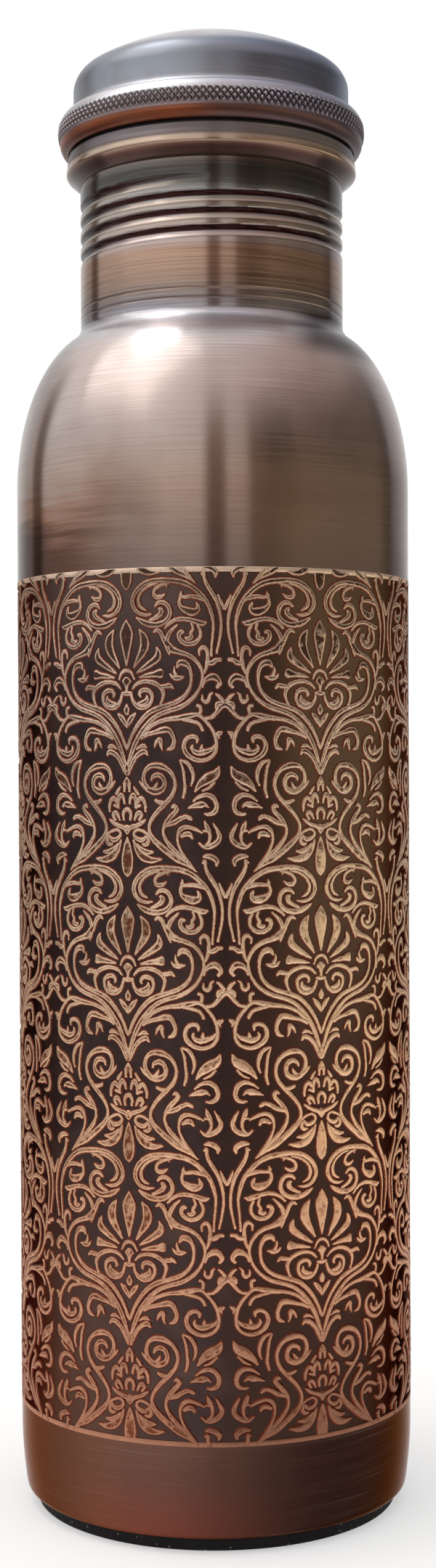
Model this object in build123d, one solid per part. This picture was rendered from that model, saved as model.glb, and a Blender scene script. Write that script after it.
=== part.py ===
"""Copper water bottle: a drawn copper body with a rolled lip, closed by a domed screw cap.

Millimetres. Z = 0 is the table under the foot pad, and +Z runs up the bottle's axis.
Every piece is turned about that axis, so each one is a section drawn in the XZ plane
and revolved. Sheet pieces get both faces of the sheet from one outline function.
"""

import os
from math import acos, asin, cos, degrees, radians, sin, sqrt

from build123d import *

# Driving dimensions
SHEET = 0.6  # copper sheet
PAD_THICKNESS = 2.5
PAD_RADIUS = 34.0

BODY_RADIUS = 37.0
SHOULDER_START = 190.5  # where the straight barrel ends
SHOULDER_RISE = 30.0  # upright half-axis of the shoulder's ellipse
SHOULDER_REACH = 15.8  # level half-axis of the shoulder's ellipse
NECK_RADIUS = 24.8
LIP_FOOT = 248.1  # where the lip curls out of the neck
LIP_TOP = 253.3

FOOT_FILLET = 1.5
FOOT_TAPER_TOP = 16.0  # the barrel draws in slightly below this height
FOOT_TAPER_RADIUS = 82.0
FOOT_FLANGE_WIDTH = 6.0  # the barrel's edge, turned in under the base disc

BASE_DISC_CLEARANCE = 0.2
BASE_PUSH_UP = 1.6  # how far the middle of the base disc is pressed upwards
BASE_PUSH_UP_RADIUS = 27.0

SEAL_THICKNESS = 1.4
SEAL_INNER_RADIUS = 24.2
SEAL_OUTER_RADIUS = 26.2

CAP_WALL_RADIUS = 26.0
CAP_WALL_TOP = 265.9
CAP_SHOULDER_RADIUS = 4.5
CAP_SHOULDER_TURN = 60.0  # degrees of the shoulder's arc, from upright
RIM_CENTRE_RADIUS = 26.9  # the grip rim is an ellipse rolled out of the cap's wall
RIM_REACH = 2.0
RIM_HALF_HEIGHT = 3.3
RIM_TOP_ANGLE = 70.0  # where the wall's flare meets the rim's ellipse
FLARE_RISE = 0.8  # height of the flare between wall and rim

PLUG_RADIUS = 23.2  # mean radius of the screw plug
PLUG_BOTTOM = 231.5
PLUG_CORNER = 2.0
PLUG_FLANGE_RADIUS = 25.4
FLOOR_HOLE_CLEARANCE = 0.2

# Heights and places that follow from the driving dimensions
FOOT_Z = PAD_THICKNESS
SEAL_TOP = LIP_TOP + SEAL_THICKNESS
RIM_CENTRE_Z = SEAL_TOP + RIM_HALF_HEIGHT
TAPER_AXIS = BODY_RADIUS - FOOT_TAPER_RADIUS
SHOULDER_AXIS = BODY_RADIUS - SHOULDER_REACH


def revolved(edges):
    """Close a chain of XZ edges and turn it about the bottle's axis."""
    section = make_face(edges)
    return revolve(Plane.XZ * section, Axis.Z)


def sheet_section(outline):
    """Edges of a sheet's section: its outer face, its inner face and the two cut ends."""
    outer = outline(0.0)
    inner = outline(SHEET)
    start = Line(inner[0] @ 0, outer[0] @ 0)
    end = Line(outer[-1] @ 1, inner[-1] @ 1)
    return outer + inner + [start, end]


def body_outline(inset):
    """One face of the body's sheet, from the turned-in foot flange to the top of the neck."""
    drop = FOOT_TAPER_TOP - FOOT_Z - FOOT_FILLET
    reach = sqrt((FOOT_TAPER_RADIUS - FOOT_FILLET) ** 2 - drop**2)
    fillet_axis = TAPER_AXIS + reach
    meet = degrees(asin(drop / (FOOT_TAPER_RADIUS - FOOT_FILLET)))
    flange = Line((fillet_axis - FOOT_FLANGE_WIDTH, FOOT_Z + inset), (fillet_axis, FOOT_Z + inset))
    corner = CenterArc((fillet_axis, FOOT_Z + FOOT_FILLET), FOOT_FILLET - inset, -90, 90 - meet)
    taper = CenterArc((TAPER_AXIS, FOOT_TAPER_TOP), FOOT_TAPER_RADIUS - inset, -meet, meet)
    barrel = Line(taper @ 1, (BODY_RADIUS - inset, SHOULDER_START))
    neck_angle = degrees(acos((NECK_RADIUS - inset - SHOULDER_AXIS) / (SHOULDER_REACH - inset)))
    shoulder = EllipticalCenterArc(
        (SHOULDER_AXIS, SHOULDER_START),
        SHOULDER_REACH - inset,
        SHOULDER_RISE - inset,
        start_angle=0,
        arc_size=neck_angle,
    )
    neck = Line(shoulder @ 1, (NECK_RADIUS - inset, LIP_FOOT))
    return [flange, corner, taper, barrel, shoulder, neck]


def lip_section():
    """The neck's edge, curled outwards and down into a bead that the seal closes on."""
    bore = NECK_RADIUS - SHEET
    curl = Polyline(
        (bore, LIP_FOOT),
        (NECK_RADIUS, LIP_FOOT),
        (NECK_RADIUS + 2.6, LIP_FOOT + 2.0),
        (NECK_RADIUS + 2.6, LIP_FOOT + 2.7),
        (NECK_RADIUS + 1.7, LIP_TOP),
        (bore, LIP_TOP),
        close=True,
    )
    bead = make_face(curl)
    crest = bead.vertices().sort_by(Axis.X)[-2:]
    bead = fillet(crest, 0.3)
    top = bead.vertices().sort_by(Axis.Y)[-2:]
    return fillet(top, 0.9)


def bottle_body():
    """Barrel, shoulder, neck and lip, drawn from one piece of copper."""
    shell = revolved(sheet_section(body_outline))
    lip = revolve(Plane.XZ * lip_section(), Axis.Z)
    return shell + lip


def base_disc():
    """Pressed disc brazed onto the foot flange, its middle pushed up so that the bottle can't rock."""
    edge_radius = BODY_RADIUS - SHEET - 1.6 - BASE_DISC_CLEARANCE
    seat = FOOT_Z + SHEET
    step = (BASE_PUSH_UP_RADIUS, seat)
    dish_radius = (BASE_PUSH_UP_RADIUS**2 + BASE_PUSH_UP**2) / (2 * BASE_PUSH_UP)
    dish_axis_z = seat + BASE_PUSH_UP - dish_radius
    swing = degrees(asin(BASE_PUSH_UP_RADIUS / dish_radius))
    under_dish = CenterArc((0, dish_axis_z), dish_radius, 90 - swing, swing)
    over_dish = CenterArc((0, dish_axis_z), dish_radius + SHEET, 90 - swing, swing)
    under_edge = Line(step, (edge_radius, seat))
    rim = Line(under_edge @ 1, (edge_radius, seat + SHEET))
    over_edge = Line(rim @ 1, over_dish @ 0)
    middle = Line(under_dish @ 1, over_dish @ 1)
    return revolved([under_dish, under_edge, rim, over_edge, over_dish, middle])


def foot_pad():
    """Flecked rubber disc glued under the foot flange."""
    pad = Cylinder(PAD_RADIUS, PAD_THICKNESS, align=(Align.CENTER, Align.CENTER, Align.MIN))
    return chamfer(pad.edges().group_by(Axis.Z)[0], 0.4)


def cap_outline(inset):
    """One face of the cap's sheet: dome, wall, rolled grip rim and the floor turned in below it."""
    shoulder_axis = CAP_WALL_RADIUS - CAP_SHOULDER_RADIUS
    turn = radians(CAP_SHOULDER_TURN)
    meet_radius = shoulder_axis + CAP_SHOULDER_RADIUS * cos(turn)
    dome_radius = meet_radius / cos(turn)
    dome_axis_z = CAP_WALL_TOP + CAP_SHOULDER_RADIUS * sin(turn) - dome_radius * sin(turn)
    dome = CenterArc((0, dome_axis_z), dome_radius - inset, 90, CAP_SHOULDER_TURN - 90)
    shoulder = CenterArc(
        (shoulder_axis, CAP_WALL_TOP), CAP_SHOULDER_RADIUS - inset, CAP_SHOULDER_TURN, -CAP_SHOULDER_TURN
    )
    top = radians(RIM_TOP_ANGLE)
    rim_start = (
        RIM_CENTRE_RADIUS + (RIM_REACH - inset) * cos(top),
        RIM_CENTRE_Z + (RIM_HALF_HEIGHT - inset) * sin(top),
    )
    wall = Line(shoulder @ 1, (CAP_WALL_RADIUS - inset, rim_start[1] + FLARE_RISE))
    flare = Line(wall @ 1, rim_start)
    rim = EllipticalCenterArc(
        (RIM_CENTRE_RADIUS, RIM_CENTRE_Z),
        RIM_REACH - inset,
        RIM_HALF_HEIGHT - inset,
        start_angle=RIM_TOP_ANGLE,
        arc_size=-90 - RIM_TOP_ANGLE,
    )
    floor = Line(rim @ 1, (PLUG_RADIUS + FLOOR_HOLE_CLEARANCE, SEAL_TOP + inset))
    return [dome, shoulder, wall, flare, rim, floor]


def cap_shell():
    """Domed cap pressed from one disc of sheet."""
    return revolved(sheet_section(cap_outline))


def plug_outline(inset):
    """One face of the screw plug's sheet: floor, corner, wall and flange."""
    seat = SEAL_TOP + 2 * SHEET
    corner_centre = (PLUG_RADIUS - PLUG_CORNER, PLUG_BOTTOM + PLUG_CORNER)
    floor = Line((0, PLUG_BOTTOM + inset), (corner_centre[0], PLUG_BOTTOM + inset))
    corner = CenterArc(corner_centre, PLUG_CORNER - inset, -90, 90)
    wall = Line(corner @ 1, (PLUG_RADIUS - inset, seat - inset))
    flange = Line(wall @ 1, (PLUG_FLANGE_RADIUS, seat - inset))
    return [floor, corner, wall, flange]


def screw_plug():
    """Closed cup that carries the male thread, flanged onto the cap's floor and brazed."""
    return revolved(sheet_section(plug_outline))


def seal_ring():
    """Flat silicone ring between the lip and the cap's floor."""
    ring = Cylinder(SEAL_OUTER_RADIUS, SEAL_THICKNESS, align=(Align.CENTER, Align.CENTER, Align.MIN))
    hole = Cylinder(SEAL_INNER_RADIUS, SEAL_THICKNESS, align=(Align.CENTER, Align.CENTER, Align.MIN))
    return Pos(0, 0, LIP_TOP) * (ring - hole)


def main():
    os.makedirs("parts", exist_ok=True)
    pieces = [foot_pad, base_disc, bottle_body, seal_ring, screw_plug, cap_shell]
    for piece in pieces:
        export_step(piece(), f"parts/{piece.__name__}.step")


main()
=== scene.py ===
from math import acos, asin, atan2, ceil, cos, degrees, hypot, pi, radians, sin, sqrt

import bmesh
import bpy
from mathutils import Matrix, Vector


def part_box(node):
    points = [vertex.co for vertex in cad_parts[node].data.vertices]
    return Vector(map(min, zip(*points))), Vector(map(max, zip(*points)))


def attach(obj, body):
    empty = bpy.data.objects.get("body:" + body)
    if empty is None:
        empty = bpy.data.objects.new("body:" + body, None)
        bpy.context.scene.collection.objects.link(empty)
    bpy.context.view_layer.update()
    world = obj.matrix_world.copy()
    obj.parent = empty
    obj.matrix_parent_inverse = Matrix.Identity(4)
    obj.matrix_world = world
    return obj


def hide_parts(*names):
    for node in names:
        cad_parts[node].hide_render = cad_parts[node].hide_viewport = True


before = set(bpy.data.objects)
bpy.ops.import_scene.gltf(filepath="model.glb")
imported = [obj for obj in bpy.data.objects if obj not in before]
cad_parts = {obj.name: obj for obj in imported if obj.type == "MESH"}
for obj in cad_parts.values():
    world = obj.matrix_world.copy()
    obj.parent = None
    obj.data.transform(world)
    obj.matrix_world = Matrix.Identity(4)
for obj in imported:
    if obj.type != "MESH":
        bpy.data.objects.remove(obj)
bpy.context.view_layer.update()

# Bottle shell: drawn and spun from one piece of copper sheet, then brushed on a lathe and left to
# brown. The foot is turned in, the shoulder is spun round, the female thread is rolled into the
# neck and the lip is curled outwards. The barrel's middle is etched away round the ornament.
MM = 0.001  # sizes and places are in millimetres
SAME_POINT = 0.004
SHEET = 0.6
BODY_RADIUS = 37.0
FOOT_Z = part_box("bottle_body")[0].z / MM
LIP_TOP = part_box("bottle_body")[1].z / MM
FLANGE_EDGE = 28.6
FOOT_FILLET = 1.5
TAPER_TOP = 16.0
TAPER_RADIUS = 82.0
BAND_FOOT, BAND_TOP = 19.4, 173.5
ETCH_DEPTH = 0.16
BORDER_WIDTH = 0.9
SHOULDER_Z = 190.5
SHOULDER_RISE, SHOULDER_REACH = 30.0, 15.8
NECK_RADIUS = 24.8
LIP_FOOT = 248.1
BEAD, BEAD_RADIUS, BEAD_TOP = (26.78, 250.5), 0.62, 251.6  # the sheet's edge, rolled under the lip
COLLAR_FOOT, COLLAR_TOP = (27.36, 250.85), (27.0, 253.35)
THREAD_PITCH = 3.1
THREAD_LEVEL = 239.0  # height of the groove on the front of the neck
THREAD_DEPTH = 0.62
THREAD_TURNS = (-1.45, 2.0)  # first and last turn, counted from that groove
RING_HEIGHTS = (221.3, 222.9, 224.6)  # fine rings cut at the foot of the neck
RING_DEPTH, RING_HALF = 0.14, 0.22
RINGS_TOP = 226.0
THREAD_FOOT, THREAD_TOP = 232.4, 246.6  # the part of the neck that is drawn finely for the thread
SHELL_STEPS = 216


def arc(centre, radii, start, end, steps):
    """Points of an arc in the section plane, from one angle in degrees to another."""
    turns = [radians(start + (end - start) * i / steps) for i in range(steps + 1)]
    return [(centre[0] + radii[0] * cos(t), centre[1] + radii[1] * sin(t)) for t in turns]


def stretch(start, end, spacing):
    """Points along a straight run of a section, no further apart than the spacing."""
    run, rise = end[0] - start[0], end[1] - start[1]
    count = max(1, ceil(hypot(run, rise) / spacing))
    return [(start[0] + run * i / count, start[1] + rise * i / count) for i in range(count + 1)]


def turn(section, steps, closed=True):
    """Spins a section of (radius, height) points in millimetres about the bottle's axis."""
    apart = [q for p, q in zip(section, section[1:]) if hypot(q[0] - p[0], q[1] - p[1]) > SAME_POINT]
    bm = bmesh.new()
    verts = [bm.verts.new((r * MM, 0, z * MM)) for r, z in section[:1] + apart]
    for a, b in zip(verts, verts[1:]):
        bm.edges.new((a, b))
    if closed:
        bm.edges.new((verts[-1], verts[0]))
    whole = bm.verts[:] + bm.edges[:]
    bmesh.ops.spin(bm, geom=whole, axis=(0, 0, 1), cent=(0, 0, 0), angle=2 * pi, steps=steps, use_merge=True)
    bmesh.ops.remove_doubles(bm, verts=bm.verts, dist=1e-7)
    bmesh.ops.recalc_face_normals(bm, faces=bm.faces)
    return bm


def finish_piece(bm, name, body, material, sharp=40):
    """Makes the piece's object, smooth except across real edges, and sets it on its body."""
    mesh = bpy.data.meshes.new(name)
    bm.to_mesh(mesh)
    bm.free()
    mesh.shade_smooth()
    mesh.set_sharp_from_angle(angle=radians(sharp))
    mesh.materials.append(material)
    piece = bpy.data.objects.new(name, mesh)
    bpy.context.scene.collection.objects.link(piece)
    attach(piece, body)
    return piece


def thread_cut(angle, height):
    """The rolled thread at a point: its depth, how dark it is painted and how bright, 0 to 1. The
    dark is soot in the chatter line and painted shade on the flank that faces down; the bright is a
    painted highlight on the slope that faces up.
    A steep flank lies above each turn's root and a long slope below it, with a thin chatter line.
    Every length in it is a share of one turn."""
    lead = (angle + 90) / 360
    turns = (height - THREAD_LEVEL) / THREAD_PITCH - lead
    turn_above = ceil(turns)
    below = turn_above - turns
    along = turn_above + lead
    run_in, run_out = (along - THREAD_TURNS[0]) / 0.2, (THREAD_TURNS[1] - along) / 0.12
    fade = min(1, max(0, run_in)) * min(1, max(0, run_out))
    steep = min(1, below / 0.16)
    slope = max(0, 1 - max(0, below - 0.24) / 0.5)
    flank = min(1, below / 0.05) * min(1, max(0, (0.38 - below) / 0.05))
    chatter = 0.5 * max(0, 1 - abs(below - 0.72) / 0.06)
    lit = min(1, max(0, (below - 0.4) / 0.08)) * min(1, max(0, (1 - below) / 0.06))
    depth = steep * slope * slope * (3 - 2 * slope)
    return fade * depth, fade * max(flank, chatter), 0.4 * fade * lit


def ring_cut(height):
    """Depth in millimetres of the fine lathe rings at the foot of the neck."""
    return sum(RING_DEPTH * max(0, 1 - abs(height - ring) / RING_HALF) for ring in RING_HEIGHTS)


drop = TAPER_TOP - FOOT_Z - FOOT_FILLET
taper_axis = BODY_RADIUS - TAPER_RADIUS
corner_axis = taper_axis + sqrt((TAPER_RADIUS - FOOT_FILLET) ** 2 - drop**2)
meet = degrees(asin(drop / (TAPER_RADIUS - FOOT_FILLET)))
shoulder_axis = BODY_RADIUS - SHOULDER_REACH
neck_angle = degrees(acos((NECK_RADIUS - shoulder_axis) / SHOULDER_REACH))
neck_foot = SHOULDER_Z + SHOULDER_RISE * sin(radians(neck_angle))
etched = BODY_RADIUS - ETCH_DEPTH
bore = NECK_RADIUS - SHEET

outside = [(FLANGE_EDGE, FOOT_Z)]
outside += arc((corner_axis, FOOT_Z + FOOT_FILLET), (FOOT_FILLET, FOOT_FILLET), -90, -meet, 8)
outside += arc((taper_axis, TAPER_TOP), (TAPER_RADIUS, TAPER_RADIUS), -meet, 0, 8)
outside += [(BODY_RADIUS, BAND_FOOT - 0.1), (BODY_RADIUS, BAND_FOOT), (etched, BAND_FOOT + 0.12)]
outside += stretch((etched, BAND_FOOT + 0.3), (etched, BAND_TOP - 0.3), 20)
outside += [
    (etched, BAND_TOP - 0.12), (BODY_RADIUS, BAND_TOP), (BODY_RADIUS, BAND_TOP + 0.1),
    (BODY_RADIUS, SHOULDER_Z - 1)
]
outside += arc((shoulder_axis, SHOULDER_Z), (SHOULDER_REACH, SHOULDER_RISE), 0, neck_angle - 10, 36)
start, corner, end = outside[-1], (NECK_RADIUS, neck_foot), (NECK_RADIUS, neck_foot + 1.8)
for t in [i / 10 for i in range(1, 11)]:
    bend = [(1 - t) ** 2 * a + 2 * t * (1 - t) * b + t * t * c for a, b, c in zip(start, corner, end)]
    outside.append(bend)
outside += stretch((NECK_RADIUS, neck_foot + 2), (NECK_RADIUS, RINGS_TOP), 0.14)
outside += stretch((NECK_RADIUS, 226.5), (NECK_RADIUS, 232.0), 3)
outside += stretch((NECK_RADIUS, THREAD_FOOT), (NECK_RADIUS, THREAD_TOP), 0.15)
outside += [(NECK_RADIUS - 0.12, LIP_FOOT - 0.25), (NECK_RADIUS - 0.12, LIP_FOOT - 0.02)]
lip = stretch((NECK_RADIUS + 0.15, LIP_FOOT + 0.05), (26.85, 249.75), 0.5)
lip += arc(BEAD, (BEAD_RADIUS, BEAD_RADIUS), -50, 12, 8)
lip += stretch(COLLAR_FOOT, COLLAR_TOP, 0.4)
lip += arc((26.75, 253.4), (0.25, 0.25), 10, 170, 6)
lip += [(26.45, LIP_TOP), (26.3, LIP_TOP)]
lip += arc((24.7, LIP_TOP - 0.5), (0.5, 0.5), 90, 180, 5)
inside = stretch((bore, THREAD_TOP), (bore, THREAD_FOOT), 0.24)
inside += [(bore, neck_foot)]
inside += arc(
    (shoulder_axis, SHOULDER_Z), (SHOULDER_REACH - SHEET, SHOULDER_RISE - SHEET), neck_angle - 1, 0, 16
)
inside += arc((taper_axis, TAPER_TOP), (TAPER_RADIUS - SHEET, TAPER_RADIUS - SHEET), 0, -meet, 4)
inside += arc((corner_axis, FOOT_Z + FOOT_FILLET), (FOOT_FILLET - SHEET, FOOT_FILLET - SHEET), -meet, -90, 4)
inside += [(FLANGE_EDGE, FOOT_Z + SHEET)]

shell = turn(outside + lip + inside, SHELL_STEPS)
soot_and_shade = shell.verts.layers.float.new("soot_and_shade")
painted_highlight = shell.verts.layers.float.new("painted_highlight")
for v in shell.verts:
    height, radius = v.co.z / MM, hypot(v.co.x, v.co.y) / MM
    if neck_foot < height < LIP_FOOT - 0.3:
        angle = degrees(atan2(v.co.y, v.co.x))
        cut, flank, lit = thread_cut(angle, height)
        cut *= THREAD_DEPTH
        # Soot in the ring grooves, painted shade on the thread's downward flank, and a painted highlight on
        # its upward slope.
        if radius > NECK_RADIUS - 0.05:
            cut += ring_cut(height)
            v[soot_and_shade] = max(flank, 4 * ring_cut(height))
            v[painted_highlight] = lit
        v.co.xy *= (radius - cut) / radius
    # On the lip: painted shade under the curl, and a painted highlight along its crest.
    elif radius > bore + 0.2 and LIP_FOOT - 0.1 < height < BEAD_TOP:
        v[soot_and_shade] = 0.85 * min(1, max(0, (250.25 - height) / 0.9))
        v[painted_highlight] = 0.8 * min(1, max(0, 1.6 - abs(height - 250.75) / 0.55))

# Antique copper, lathe-brushed: the scratches run round the bottle, so a light is smeared up and
# down it while its sides stay crisp. The brown film is thin on the barrel, red at the foot and
# grey-green on the neck. Light and shade are also painted into its colour: painted light and shade
# on the left and the right, a painted sky reflection where the neck meets the shoulder, painted
# shade above the thread, and painted shade and highlights on the thread and the lip.
BRUSH_LINE = 0.22  # millimetres between brush lines, twice the real spacing so that they show
STAIN_SIZE = 28.0


def tone(code):
    """A hex sRGB colour as linear red, green, blue and alpha."""
    parts = [int(code[i : i + 2], 16) / 255 for i in (1, 3, 5)]
    return [c / 12.92 if c <= 0.04045 else ((c + 0.055) / 1.055) ** 2.4 for c in parts] + [1.0]


def wire(tree, node, inputs):
    """Sets a node's inputs: each to a value, or to an output of another node."""
    for name, value in inputs.items():
        if isinstance(value, bpy.types.NodeSocket):
            tree.links.new(value, node.inputs[name])
        else:
            node.inputs[name].default_value = value


def put(tree, kind, inputs=None, **settings):
    """Adds one node with its settings and inputs."""
    made = tree.nodes.new("ShaderNode" + kind)
    for name, value in settings.items():
        setattr(made, name, value)
    wire(tree, made, inputs or {})
    return made


def new_finish(name):
    """A new material, its node tree and its shader."""
    made = bpy.data.materials.new(name)
    made.use_nodes = True
    return made, made.node_tree, made.node_tree.nodes["Principled BSDF"]


def fill_ramp(ramp, stops):
    """Gives a ramp its stops, each a place from 0 to 1 and a hex colour, and returns its colour."""
    elements = ramp.color_ramp.elements
    while len(elements) < len(stops):
        elements.new(0.5)
    for stop, (at, shade) in zip(elements, stops):
        stop.position = at
        stop.color = tone(shade)
    return ramp.outputs["Color"]


def blend(tree, first, second, zone, most=1.0):
    """Blends a second colour into a first inside a zone, by at most the share given. The zone is
    where all its edges overlap. An edge is an amount from 0 to 1, or a value with the two levels
    where the blend starts and is full, and SMOOTHSTEP where it eases in and out."""
    amount = None
    for edge in zone:
        if isinstance(edge, tuple):
            value, start, full, ease = (*edge, "LINEAR")[:4]
            reach = {"Value": value, "From Min": start, "From Max": full, "To Max": most}
            edge = put(tree, "MapRange", reach, interpolation_type=ease).outputs["Result"]
            most = 1.0
        if amount is not None:
            edge = put(tree, "Math", {0: amount, 1: edge}, operation="MULTIPLY").outputs[0]
        amount = edge
    return put(tree, "Mix", {0: amount, 6: first, 7: second}, data_type="RGBA").outputs[2]


def scratches(tree, axes, spacing, per_metre, **noise):
    """Noise drawn out round the bottle's axis, as a lathe's brush leaves it: the spacing between
    lines is in millimetres, and there are so many lengths of line to a metre."""
    flat = put(tree, "CombineXYZ", {"X": axes["X"], "Y": axes["Y"]}).outputs[0]
    radius = put(tree, "VectorMath", {0: flat}, operation="LENGTH").outputs["Value"]
    travel = put(tree, "Math", {0: axes["Z"], 1: radius}, operation="SUBTRACT").outputs[0]
    lines = put(tree, "Math", {0: travel, 1: 1 / (spacing * MM)}, operation="MULTIPLY").outputs[0]
    long_x, long_y = (
        put(tree, "Math", {0: axes[side], 1: per_metre}, operation="MULTIPLY").outputs[0] for side in "XY"
    )
    drawn = put(tree, "CombineXYZ", {"X": long_x, "Y": long_y, "Z": lines}).outputs[0]
    return put(tree, "TexNoise", {"Vector": drawn, "Scale": 1.0, **noise}).outputs["Fac"]


antique, tree, metal = new_finish("lathe_brushed_antique_copper")
place = put(tree, "TexCoord").outputs["Object"]
axes = put(tree, "SeparateXYZ", {0: place}).outputs
grain = scratches(tree, axes, BRUSH_LINE, 45.0, Detail=4.0, Roughness=0.65)
deep_grain = scratches(tree, axes, 6 * BRUSH_LINE, 45.0, Detail=2.0)
streak = scratches(tree, axes, 1.6 * BRUSH_LINE, 28.0, Detail=3.0, Roughness=0.7)
stain = put(tree, "TexNoise", {"Vector": place, "Scale": 1 / (STAIN_SIZE * MM), "Detail": 3.0}).outputs["Fac"]
level = put(
    tree, "MapRange", {"Value": axes["Z"], "From Min": 0.0, "From Max": LIP_TOP * MM}
).outputs["Result"]
# The film's colour by height in millimetres. Painted light is in it too: the pale bluish-white
# from 214 to 222 mm is a painted sky reflection where the neck meets the shoulder, and the dark
# grey from 243 to 247 mm is painted shade above the thread.
shades = (
    (3, "#86483a"), (8, "#7e4b3f"), (13, "#714d43"), (18, "#765449"), (60, "#8a5f50"), (168, "#7e7270"),
    (175, "#968279"), (181, "#a68f83"), (187, "#ba9f91"), (192, "#c6aea1"), (198, "#cfbcb3"),
    (207, "#dccbc4"), (214, "#e4d6d0"), (217, "#eae6ea"), (220, "#dedee4"), (222, "#a8a1a5"),
    (224.5, "#a5938a"), (227, "#bd9e8b"), (232, "#d2ac94"), (233.6, "#c2bac4"), (235.5, "#c4b8b4"),
    (242.6, "#a2a5a5"), (243.3, "#70726f"), (245, "#5a5a57"), (247.2, "#5a5c5a"), (247.6, "#94847a"),
    (248.4, "#94847a"), (250, "#80513c"), (251.4, "#9a9090"), (253, "#989194"),
)
film_and_painted_light = put(tree, "ValToRGB", {"Fac": level})
colour = fill_ramp(film_and_painted_light, [(height / LIP_TOP, shade) for height, shade in shades])
colour = blend(tree, colour, tone("#6f5145"), [(stain, 0.48, 0.75)], 0.45)
mixed = put(tree, "Math", {0: stain, 1: deep_grain}, operation="ADD").outputs[0]
uneven = put(
    tree, "MapRange",
    {"Value": mixed, "From Min": 0.6, "From Max": 1.4, "To Min": 9 * MM, "To Max": -9 * MM}
).outputs["Result"]
ragged = put(tree, "Math", {0: axes["Z"], 1: uneven}, operation="ADD").outputs[0]
# Painted warm light on the far left, at the foot of the shoulder.
warm_band = (ragged, 192 * MM, 184 * MM, "SMOOTHSTEP")
far_left = (axes["X"], -15 * MM, -31 * MM)
colour = blend(tree, colour, tone("#b06f4a"), [warm_band, far_left], 0.6)
# Painted shade on the left, just above the band.
over_band = (ragged, 188 * MM, 176 * MM, "SMOOTHSTEP")
left_side = (axes["X"], -8 * MM, -34 * MM, "SMOOTHSTEP")
colour = blend(tree, colour, tone("#432a23"), [left_side, over_band], 0.85)
# Painted shade on the right of the foot.
at_foot = (axes["Z"], 25 * MM, 18 * MM, "SMOOTHSTEP")
right_side = (axes["X"], -24 * MM, 22 * MM, "SMOOTHSTEP")
colour = blend(tree, colour, tone("#2a1916"), [right_side, at_foot])
# Painted shade on the right, where the shoulder meets the neck.
joint_foot = (axes["Z"], 211 * MM, 215.5 * MM, "SMOOTHSTEP")
joint_top = (axes["Z"], 222.5 * MM, 221 * MM, "SMOOTHSTEP")
beside = (axes["X"], 13 * MM, 19.5 * MM, "SMOOTHSTEP")
colour = blend(tree, colour, tone("#2a1916"), [beside, joint_foot, joint_top], 0.8)
colour = blend(tree, colour, tone("#5d4034"), [(grain, 0.4, 0.65)], 0.16)
on_neck = put(
    tree, "MapRange", {"Value": axes["Z"], "From Min": 217 * MM, "From Max": 223 * MM, "To Min": 0.18}
).outputs["Result"]
colour = blend(tree, colour, tone("#553a30"), [(streak, 0.5, 0.7), on_neck], 0.5)
colour = blend(tree, colour, tone("#e4cfc2"), [(streak, 0.42, 0.3), on_neck], 0.2)
# Painted highlight on the thread's upward slopes and along the lip's crest.
painted_highlight_share = put(tree, "Attribute", attribute_name="painted_highlight").outputs["Fac"]
colour = blend(tree, colour, tone("#dcc3ac"), [painted_highlight_share])
# Soot in the ring grooves and chatter lines, and painted shade on the thread's downward flanks and under the
# lip.
soot_and_shade_share = put(tree, "Attribute", attribute_name="soot_and_shade").outputs["Fac"]
colour = blend(tree, colour, tone("#3a2422"), [soot_and_shade_share])
# Painted shade on the right, between the band and the shoulder's bend, deepening upwards.
painted_shade_strength = put(
    tree, "MapRange",
    {"Value": axes["Z"], "From Min": 181 * MM, "From Max": 188 * MM, "To Min": 0.12, "To Max": 0.3}
).outputs["Result"]
below_bend = (axes["Z"], 195.5 * MM, 191 * MM)
above_band = (axes["Z"], 150 * MM, 151 * MM)
right_side = (axes["X"], 5 * MM, 14 * MM, "SMOOTHSTEP")
colour = blend(tree, colour, tone("#3c2c22"), [painted_shade_strength, below_bend, right_side, above_band])
dull = put(
    tree, "MapRange", {"Value": grain, "From Min": 0.3, "From Max": 0.7, "To Min": 0.15, "To Max": 0.25}
).outputs["Result"]
on_lip = put(
    tree, "MapRange", {"Value": axes["Z"], "From Min": 250.9 * MM, "From Max": 251.5 * MM, "To Max": 0.25}
).outputs["Result"]
dull = put(tree, "Math", {0: dull, 1: on_lip}, operation="ADD").outputs[0]
deeper = put(
    tree, "MapRange", {"Value": axes["Z"], "From Min": 217 * MM, "From Max": 223 * MM}
).outputs["Result"]
deeper = put(tree, "Math", {0: deep_grain, 1: deeper}, operation="MULTIPLY").outputs[0]
both = put(tree, "Math", {0: grain, 1: deeper}, operation="ADD").outputs[0]
scratch = put(tree, "Bump", {"Height": both, "Strength": 0.3, "Distance": 0.02 * MM}).outputs["Normal"]
round_axis = put(tree, "Tangent", direction_type="RADIAL", axis="Z").outputs[0]
wire(tree, metal, {
    "Base Color": colour, "Roughness": dull, "Normal": scratch, "Tangent": round_axis,
    "Metallic": 1.0, "Anisotropic": 0.95, "Anisotropic Rotation": 0.25,
})

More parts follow.
